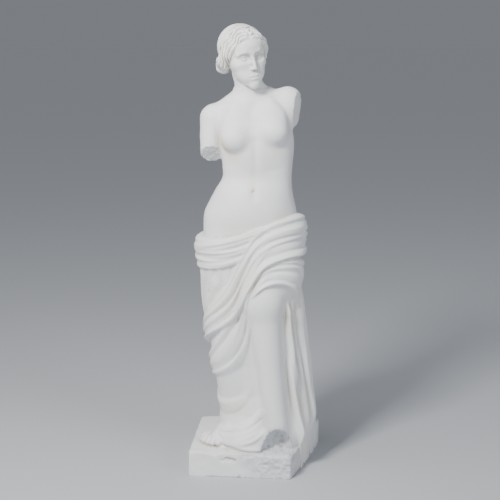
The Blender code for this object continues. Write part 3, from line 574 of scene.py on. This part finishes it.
# Chips in the plinth's sides and upper edge, (x, y, z) in shares of its sizes, then size in drawn units
CHIPS = [((-0.33, -0.424, 1.0), (12, 2.4, 4)), ((-0.21, -0.438, 0.72), (12, 1.8, 3.2)),
         ((-0.07, -0.458, 0.95), (9, 2.2, 4)), ((0.04, -0.472, 0.6), (9, 1.7, 3.2)),
         ((-0.5, -0.1, 0.95), (3, 10, 5)), ((-0.49, 0.28, 0.9), (3, 8, 5)), ((-0.2, 0.5, 0.9), (13, 2.6, 5)),
         ((0.2, 0.5, 0.6), (9, 2.2, 4)), ((0.46, 0.2, 0.9), (4, 9, 4))]


def plinth(q, outside):
    """Worn, with its edges and sides chipped, and rough at the front right where the stone broke."""
    u = q / UNIT
    top = PLINTH_HEIGHT / UNIT
    d = trim(outside, q[:, 2] - PLINTH_HEIGHT, PLINTH_ROUND) / UNIT
    low = np.clip(u[:, 2] / top * 3, 0, 1)
    broken = 0.55 * noise(u, 5) + 0.45 * noise(u, 2.2)
    gone = np.linalg.norm(u - vec(*LOST_FOOT) - vec(PLACE[0], PLACE[1], 0.8 * PLACE[2]) / UNIT, axis=1)
    near_break = np.clip(1.9 - gone / BREAK_REACH, 0, 1)
    d = d + 0.5 * noise(u, 9) * low + near_break * (1.0 + 1.5 * broken)
    chipped = np.clip(noise(u, 16) + 0.6 * noise(u, 6) - 0.28, 0, 0.8) * 5 + 4.5 * near_break
    edge = (outside / UNIT + u[:, 2] - top) * 0.707 + chipped - 0.7 + 0.8 * broken * (chipped > 0)
    d = np.maximum(d, edge)
    for (x, y, z), size in CHIPS:
        chip = ball(u, (x * PLINTH_WIDTH / UNIT, y * PLINTH_DEPTH / UNIT, z * top), size)
        d = trim(d, -(chip + 1.4 * noise(u, 4)), 0.8)
    return d * UNIT


# No cloth reaches above this height in drawn units
CLOTH_HIGHEST = 345


def statue(q):
    """Signed distance in metres, the ground at z = 0."""
    outside = past_outline(q)
    above_plinth = np.maximum(q[:, 2] - PLINTH_HEIGHT, 0)
    drape_limit = (outside - DRAPE_OVER_PLINTH - DRAPE_FLARE * above_plinth) / UNIT
    p = ((q - vec(*PLACE)) / UNIT).astype(np.float32)
    z = p[:, 2]
    d = np.full(len(p), DRAWN, np.float32)
    # each part, the heights it lies between, and the width of the fillet that joins it on
    for part, low, high, width in (
            (right_foot, -60, 60, 1.5), (torso, 270, 600, 1.0), (neck, 440, 600, 7), (right_arm, 370, 490, 5),
            (left_arm, 370, 490, 7), (head, 470, 600, 2)):
        here = (z > low) & (z < high)
        d[here] = join(d[here], part(p[here]), width)
    here = z < CLOTH_HIGHEST
    d[here] = join(d[here], drapery(p[here], drape_limit[here]), 1.0)
    return join(d * UNIT, plinth(q, outside), PLINTH_ROUND)


# Meshing on a grid that narrows over the head

def grid_scale(z):
    heights, scales = zip(*GRID_SCALE)
    return np.interp(z, vec(*heights) / GRID_TOTAL * (FIGURE_HEIGHT + PLINTH_HEIGHT), scales)


def unpinch(values, rounds=30):
    """Fills a corner of each grid face whose corners alternate, where the surface would touch itself."""
    for _ in range(rounds):
        filled = 0
        for u, v in ((0, 1), (1, 2), (2, 0)):
            corner = []
            for du, dv in ((0, 0), (1, 0), (1, 1), (0, 1)):
                part = [slice(None)] * 3
                part[u], part[v] = slice(du, values.shape[u] - 1 + du), slice(dv, values.shape[v] - 1 + dv)
                corner.append(values[tuple(part)])
            a, b, c, d = corner
            for p, q, r, s in ((a, b, c, d), (b, c, d, a)):
                pinched = (p < 0) & (r < 0) & (q > 0) & (s > 0)
                filled += pinched.sum()
                first = pinched & (q <= s)
                q[first] = JUST_INSIDE
                s[pinched & ~first] = JUST_INSIDE
        if not filled:
            break


def surface_net(field, low, high, cell, stride=4):
    """Vertices and quads of a closed mesh on field = 0."""
    levels = [low[2]]
    while levels[-1] < high[2] or (len(levels) - 1) % stride:
        levels.append(levels[-1] + cell * float(grid_scale(levels[-1])))
    z = np.array(levels, np.float32)
    scale = grid_scale(z)
    counts = [int(math.ceil((high[a] - low[a]) / cell / stride)) * stride + 1 for a in (0, 1)] + [len(z)]
    middle = [(low[a] + high[a]) / 2 for a in (0, 1)]
    shift = 1 - scale

    def place(i, j, k):
        x = middle[0] + (i - (counts[0] - 1) / 2) * cell * scale[k] + 2 * PLACE[0] * shift[k]
        y = middle[1] + (j - (counts[1] - 1) / 2) * cell * scale[k]
        return np.stack([x, y, z[k]], -1).astype(np.float32)

    # a coarse pass finds the blocks near the surface, so that only those are worked out in full
    axes = [np.arange(0, n, stride) for n in counts]
    i, j, k = np.meshgrid(*axes, indexing="ij")
    coarse = field(place(i.ravel(), j.ravel(), k.ravel())).reshape(i.shape)
    near = np.abs(coarse) < cell * scale[k] * stride * GRID_NEAR
    corners = [(a, b, c) for a in (0, 1) for b in (0, 1) for c in (0, 1)]
    size = [n - 1 for n in near.shape]
    block = np.zeros(size, bool)
    for a, b, c in corners:
        block |= near[a:a + size[0], b:b + size[1], c:c + size[2]]

    def fine(values):
        for axis in range(3):
            values = np.repeat(values, stride, axis)
        return values

    active = np.zeros(counts, bool)
    full = fine(block)
    for a, b, c in corners:
        active[a:a + full.shape[0], b:b + full.shape[1], c:c + full.shape[2]] |= full
    inside = fine(coarse < 0)[:counts[0], :counts[1], :counts[2]]
    values = np.where(inside, -1.0, 1.0).astype(np.float32)
    i, j, k = np.nonzero(active)
    values[i, j, k] = field(place(i, j, k))
    unpinch(values)
    inside = values < 0

    # one vertex in each cell that the surface crosses, at the mean of its edge crossings
    span = [n - 1 for n in counts]
    filled = sum(inside[a:a + span[0], b:b + span[1], c:c + span[2]].astype(np.int8) for a, b, c in corners)
    cells = np.nonzero((filled > 0) & (filled < 8))
    total, hits = 0, 0
    for corner in corners:
        for axis in range(3):
            if corner[axis]:
                continue
            other = list(corner)
            other[axis] = 1
            first = [c + o for c, o in zip(cells, corner)]
            second = [c + o for c, o in zip(cells, other)]
            va, vb = values[tuple(first)], values[tuple(second)]
            crossed = (va < 0) != (vb < 0)
            t = np.where(crossed, va / np.where(crossed, va - vb, 1), 0)[:, None]
            point = place(*first) * (1 - t) + place(*second) * t
            total = total + point * crossed[:, None]
            hits = hits + crossed
    vertices = (total / hits[:, None]).astype(np.float32)
    index = np.full(filled.shape, -1, np.int64)
    index[cells] = np.arange(len(vertices))

    # one quad round each grid edge that the surface crosses
    quads = []
    for axis in range(3):
        u, v = (axis + 1) % 3, (axis + 2) % 3
        first = [slice(1, -1)] * 3
        second = [slice(1, -1)] * 3
        first[axis], second[axis] = slice(0, -1), slice(1, None)
        a, b = inside[tuple(first)], inside[tuple(second)]
        for crossing, order in ((a & ~b, 1), (~a & b, -1)):
            edge = np.argwhere(crossing)
            edge[:, [u, v]] += 1
            ring = []
            for du, dv in ((0, 0), (-1, 0), (-1, -1), (0, -1)):
                cell_at = edge.copy()
                cell_at[:, u] += du
                cell_at[:, v] += dv
                ring.append(index[tuple(cell_at.T)])
            quads.append(np.stack(ring, 1)[:, ::order])
    return vertices, np.concatenate(quads)


def settle(field, points, reach, rounds=2, step=2e-5):
    """Moves points onto field = 0, each by at most reach in a round."""
    for _ in range(rounds):
        d = field(points)
        slope = np.stack([field(points + step * vec(*axis)) - d for axis in np.eye(3)], 1) / step
        move = -(d / np.maximum((slope * slope).sum(1), 0.15))[:, None] * slope
        size = np.linalg.norm(move, axis=1, keepdims=True)
        points = points + move * np.minimum(1, reach / np.maximum(size, 1e-9))
    return points


def new_object(name, data):
    obj = bpy.data.objects.new(name, data)
    bpy.context.scene.collection.objects.link(obj)
    return obj


def reduced(mesh, triangles):
    """The mesh reduced to about this many triangles."""
    obj = new_object("full", mesh)
    decimate = obj.modifiers.new("Decimate", "DECIMATE")
    decimate.ratio = min(1.0, triangles / (2 * len(mesh.polygons)))
    bpy.context.view_layer.update()
    result = bpy.data.meshes.new_from_object(obj.evaluated_get(bpy.context.evaluated_depsgraph_get()))
    bpy.data.objects.remove(obj)
    return result


def cut_flat(mesh):
    """Cuts the mesh at the ground and closes it."""
    bm = bmesh.new()
    bm.from_mesh(mesh)
    bmesh.ops.bisect_plane(bm, geom=bm.verts[:] + bm.edges[:] + bm.faces[:], plane_co=(0, 0, 0),
                           plane_no=(0, 0, 1), clear_inner=True, dist=MERGE)
    bmesh.ops.holes_fill(bm, edges=[e for e in bm.edges if e.is_boundary], sides=0)
    bmesh.ops.triangulate(bm, faces=bm.faces[:])
    bmesh.ops.recalc_face_normals(bm, faces=bm.faces[:])
    bm.to_mesh(mesh)
    bm.free()


# Where the cast is stained, dirty or grey, and where shade is painted onto it, worked out from its form

# Hollows measured for the painted shade and the cream dirt, and how wide each may be in metres
HOLLOWS = [("crease", 0.0015), ("valley", 0.004), ("hollow", 0.012)]


def outward(points, step=2e-4):
    d = statue(points)
    slope = np.stack([statue(points + step * vec(*axis)) - d for axis in np.eye(3)], 1)
    return slope / np.maximum(np.linalg.norm(slope, axis=1, keepdims=True), 1e-9)


def hollowness(points, normals, reach):
    """0 in the open and rising towards 1 in a hollow narrower than reach."""
    gap = statue(points + normals * reach)
    return np.clip(1 - gap / reach, 0, 1)


# Cream stains on the front, (x, z, radius, strength) in drawn units
STAINS = [
    (1.5, 465, 4.5, 1.0), (4.5, 351, 3.5, 1.2), (-22, 397, 8, 0.8), (-37, 416, 5, 0.9), (-34, 404, 9, 0.5),
    (36, 402, 8, 0.4), (12, 372, 18, 0.2), (4, 302, 14, 0.45), (40, 317, 10, 0.6), (-22, 298, 12, 0.5),
    (-58, 392, 6, 0.4), (60, 452, 10, 0.4), (-30, 500, 12, 0.4), (-22, 532, 14, 0.4), (12, 528, 12, 0.3),
    (-4, 240, 20, 0.35), (-40, 200, 24, 0.35), (58, 180, 22, 0.4), (70, 60, 24, 0.3), (-20, 60, 24, 0.3)]
# They reach full strength this far in front of the figure's middle
STAIN_DEPTH = 12


def stained(points):
    p = (points - vec(*PLACE)) / UNIT
    total = np.zeros(len(p), np.float32)
    for x, z, radius, strength in STAINS:
        away = ((p[:, 0] - x) ** 2 + (p[:, 2] - z) ** 2) / radius ** 2
        total = total + strength * np.exp(-away)
    return np.clip(total, 0, 1) * np.clip(-p[:, 1] / STAIN_DEPTH, 0, 1)


# The fading in drawn units of the broken surface's grey and painted shade, in the recess and over the plinth
# round it
RECESS_FULL = 1.5
RECESS_FADE = 2.5
ROUND_FULL = 2.4
ROUND_FADE = 24
ROUND_MOST = 0.7


def bare_and_shaded(points):
    """1 where the cast broke at the front right and its rough inside shows, fading to 0 round it; the mask
    greys the broken stone and paints shade into the recess.
    """
    p = (points - vec(*PLACE)) / UNIT
    recess = np.clip(RECESS_FULL - ball(p, LOST_FOOT, LOST_SIZE) / RECESS_FADE, 0, 1)
    away = np.linalg.norm(p - vec(*LOST_FOOT), axis=1)
    plinth_edge = np.clip(ROUND_FULL - away / ROUND_FADE, 0, ROUND_MOST) * (p[:, 2] < 1)
    return np.maximum(recess, plinth_edge)


def write_attribute(mesh, name, values):
    attribute = mesh.attributes.new(name, "FLOAT", "POINT")
    attribute.data.foreach_set("value", np.asarray(values, np.float32))


def without_specks(mesh):
    """Keeps the one large surface, without the closed specks of a few faces beside it."""
    bm = bmesh.new()
    bm.from_mesh(mesh)
    left = set(bm.verts)
    pieces = []
    while left:
        front = [left.pop()]
        piece = []
        while front:
            vert = front.pop()
            piece.append(vert)
            for edge in vert.link_edges:
                other = edge.other_vert(vert)
                if other in left:
                    left.remove(other)
                    front.append(other)
        pieces.append(piece)
    pieces.sort(key=len)
    bmesh.ops.delete(bm, geom=[vert for piece in pieces[:-1] for vert in piece], context="VERTS")
    bm.to_mesh(mesh)
    bm.free()


def cast_mesh(cell, triangles):
    margin = GRID_MARGIN * cell
    low = (-GRID_HALF_X, -GRID_HALF_Y, -margin)
    high = (GRID_HALF_X, GRID_HALF_Y, PLINTH_HEIGHT + FIGURE_HEIGHT + margin)
    vertices, quads = surface_net(statue, low, high, cell)
    vertices = settle(statue, vertices, cell / 2)
    full = bpy.data.meshes.new("full")
    full.from_pydata(vertices.tolist(), [], quads.tolist())
    mesh = reduced(full, triangles)
    mesh.name = "cast"
    cut_flat(mesh)
    without_specks(mesh)
    flat = np.empty(3 * len(mesh.vertices), np.float32)
    mesh.vertices.foreach_get("co", flat)
    points = flat.reshape(-1, 3)
    normals = outward(points)
    # masks for the painted shade and the cream dirt in the hollows, valleys and creases
    for name, reach in HOLLOWS:
        write_attribute(mesh, name, hollowness(points, normals, reach))
    write_attribute(mesh, "stain", stained(points))
    # the bare mask greys the broken stone and paints shade into the recess
    write_attribute(mesh, "bare_and_shaded", bare_and_shaded(points))
    # set so that its box has the same middle as the solid part's
    centre = (points.min(0) + points.max(0)) / 2
    wanted = (np.array(cad_low) + np.array(cad_high)) / 2
    moved = points + vec(wanted[0] - centre[0], wanted[1] - centre[1], 0)
    mesh.vertices.foreach_set("co", moved.ravel())
    mesh.shade_smooth()
    mesh.update()
    return mesh


# The cast's finish, as base colours, with painted shade in its hollows, valleys, creases and recess

WHITE = (0.81, 0.815, 0.82)
WARM_WHITE = (0.785, 0.785, 0.78)
# painted shade, greying the hollows
HOLLOW_SHADE = (0.62, 0.615, 0.60)
# cream dirt with painted shade, darkening the valleys
VALLEY_DIRT_AND_SHADE = (0.57, 0.52, 0.42)
STAIN_TINT = (0.76, 0.67, 0.48)
# grey of the broken stone, with painted shade darkening the recess
BROKEN_GREY_AND_SHADE = (0.55, 0.565, 0.60)
# cream dirt with painted shade, darkening the creases
CREASE_DIRT_AND_SHADE = (0.46, 0.42, 0.35)
FLOOR_PAINT = (0.455, 0.47, 0.495)

# Noise scales, patches across the object's metre
CLOUD = 22.0
MOTTLE = 140.0
COARSE_GRAIN = 260.0
FINE_GRAIN = 900.0
GRAIN_DEPTH = 0.0004


class Nodes:
    """Short ways to add and link shader nodes."""

    def __init__(self, material):
        material.use_nodes = True
        self.tree = material.node_tree
        self.shader = self.tree.nodes["Principled BSDF"]

    def add(self, kind, **settings):
        node = self.tree.nodes.new(kind)
        for name, value in settings.items():
            setattr(node, name, value)
        return node

    def link(self, output, socket):
        self.tree.links.new(output, socket)

    def attribute(self, name):
        return self.add("ShaderNodeAttribute", attribute_name=name).outputs["Fac"]

    def noise(self, scale, detail=3.0, roughness=0.55):
        place = self.add("ShaderNodeTexCoord").outputs["Object"]
        node = self.add("ShaderNodeTexNoise")
        node.inputs["Scale"].default_value = scale
        node.inputs["Detail"].default_value = detail
        node.inputs["Roughness"].default_value = roughness
        self.link(place, node.inputs["Vector"])
        return node.outputs["Fac"]

    def ranged(self, value, low, high, start=0.0, end=1.0):
        node = self.add("ShaderNodeMapRange")
        node.inputs["From Min"].default_value = low
        node.inputs["From Max"].default_value = high
        node.inputs["To Min"].default_value = start
        node.inputs["To Max"].default_value = end
        self.link(value, node.inputs["Value"])
        return node.outputs["Result"]

    def math(self, operation, a, b):
        node = self.add("ShaderNodeMath", operation=operation)
        for socket, value in zip(node.inputs, (a, b)):
            if isinstance(value, (int, float)):
                socket.default_value = value
            else:
                self.link(value, socket)
        return node.outputs["Value"]

    def mix(self, share, a, b):
        """Colour a where share is 0 and colour b where it is 1."""
        node = self.add("ShaderNodeMix", data_type="RGBA")
        self.link(share, node.inputs["Factor"])
        for socket, colour in ((node.inputs["A"], a), (node.inputs["B"], b)):
            if isinstance(colour, tuple):
                socket.default_value = colour + (1.0,)
            else:
                self.link(colour, socket)
        return node.outputs["Result"]


def cast_material():
    material = bpy.data.materials.new("cast_stone")
    n = Nodes(material)
    names = ("crease", "valley", "hollow", "stain", "bare_and_shaded")
    crease, valley, hollow, stain, raw_and_shaded = (n.attribute(name) for name in names)
    cloud = n.noise(CLOUD, 4.0)
    mottle = n.noise(MOTTLE, 3.0)
    white = n.mix(n.ranged(cloud, 0.35, 0.65), WHITE, WARM_WHITE)
    # painted shade in the hollows
    in_hollow = n.math("MULTIPLY", n.ranged(hollow, 0.3, 0.95), 0.75)
    # cream dirt and painted shade in the valleys and creases
    in_valley = n.math("MULTIPLY", n.ranged(valley, 0.35, 0.9), n.ranged(cloud, 0.3, 0.7, 0.5, 0.85))
    in_crease = n.math("MULTIPLY", n.ranged(crease, 0.35, 0.9), n.ranged(mottle, 0.3, 0.7, 0.5, 0.8))
    patch = n.math("MULTIPLY", stain, n.ranged(mottle, 0.3, 0.7, 0.25, 1.0))
    # paints shade into the hollows, then cream dirt with painted shade into the valleys
    hollow_shaded = n.mix(in_hollow, white, HOLLOW_SHADE)
    deep = n.mix(in_valley, hollow_shaded, VALLEY_DIRT_AND_SHADE)
    tinted = n.mix(n.math("MULTIPLY", patch, 0.9), deep, STAIN_TINT)
    # grey broken stone with painted shade in the recess
    in_raw_and_shade = n.math("MULTIPLY", raw_and_shaded, n.ranged(mottle, 0.35, 0.65, 0.55, 1.0))
    greyed_and_shaded = n.mix(in_raw_and_shade, tinted, BROKEN_GREY_AND_SHADE)
    # cream dirt with painted shade in the creases
    final = n.mix(in_crease, greyed_and_shaded, CREASE_DIRT_AND_SHADE)
    n.link(final, n.shader.inputs["Base Color"])
    n.link(n.ranged(mottle, 0.3, 0.7, 0.5, 0.66), n.shader.inputs["Roughness"])
    n.shader.inputs["Specular IOR Level"].default_value = 0.35
    grain = n.math("ADD", n.noise(FINE_GRAIN, 2.0), n.math("MULTIPLY", n.noise(COARSE_GRAIN, 2.0), 1.2))
    bump = n.add("ShaderNodeBump")
    bump.inputs["Strength"].default_value = 0.35
    bump.inputs["Distance"].default_value = GRAIN_DEPTH
    n.link(grain, bump.inputs["Height"])
    n.link(bump.outputs["Normal"], n.shader.inputs["Normal"])
    return material


def floor_material():
    material = bpy.data.materials.new("floor_paint")
    n = Nodes(material)
    n.shader.inputs["Base Color"].default_value = FLOOR_PAINT + (1.0,)
    n.shader.inputs["Roughness"].default_value = 0.8
    return material


cell, triangles = ((CELL, TRIANGLES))
cast = new_object("cast_figure", cast_mesh(cell, triangles))
cast.data.materials.clear()
cast.data.materials.append(cast_material())
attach(cast, "root")
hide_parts("statue")

# Floor, light and camera
FLOOR_HALF = 30.0
FLOOR_CORNERS = [(-1, -1), (1, -1), (1, 1), (-1, 1)]
floor_mesh = bpy.data.meshes.new("floor")
floor_mesh.from_pydata([(x * FLOOR_HALF, y * FLOOR_HALF, 0) for x, y in FLOOR_CORNERS], [], [(0, 1, 2, 3)])
floor_mesh.materials.append(floor_material())
floor = new_object("floor", floor_mesh)

WORLD_COLOUR = (0.86, 0.91, 1.0)
WORLD_STRENGTH = 0.23
world = bpy.data.worlds.new("studio")
bpy.context.scene.world = world
world.use_nodes = True
background = world.node_tree.nodes["Background"]
background.inputs["Color"].default_value = WORLD_COLOUR + (1.0,)
background.inputs["Strength"].default_value = WORLD_STRENGTH


def lamp(name, kind, place, power, size, colour, aim=(0.0, 0.0, 0.3)):
    """A soft lamp. size is metres across, or for the sun the angle in degrees."""
    data = bpy.data.lights.new(name, kind)
    data.energy = power
    data.color = colour
    if kind == "SUN":
        data.angle = math.radians(size)
    else:
        data.size = size
    obj = new_object(name, data)
    obj.location = place
    obj.rotation_euler = (Vector(aim) - Vector(place)).to_track_quat("-Z", "Y").to_euler()


lamp("key", "AREA", (-0.55, -0.82, 1.08), 25.0, 0.3, (1.0, 0.99, 0.97), (0.0, 0.0, 0.45))
lamp("sky", "SUN", (-1.0, -0.6, 2.4), 0.8, 40.0, (1.0, 1.0, 1.0))
lamp("fill", "AREA", (1.3, -1.2, 1.0), 13.5, 0.8, (0.92, 0.95, 1.0))

CAMERA_PLACE = (-0.0085, -1.507, 0.60)
CAMERA_DOWN = 11.3
CAMERA_LENS = 81.4
CAMERA_SENSOR = 36.0
camera = new_object("camera", bpy.data.cameras.new("camera"))
camera.location = CAMERA_PLACE
camera.rotation_euler = (math.radians(90 - CAMERA_DOWN), 0, 0)
camera.data.lens = CAMERA_LENS
camera.data.sensor_width = CAMERA_SENSOR
camera.data.dof.use_dof = False
bpy.context.scene.camera = camera
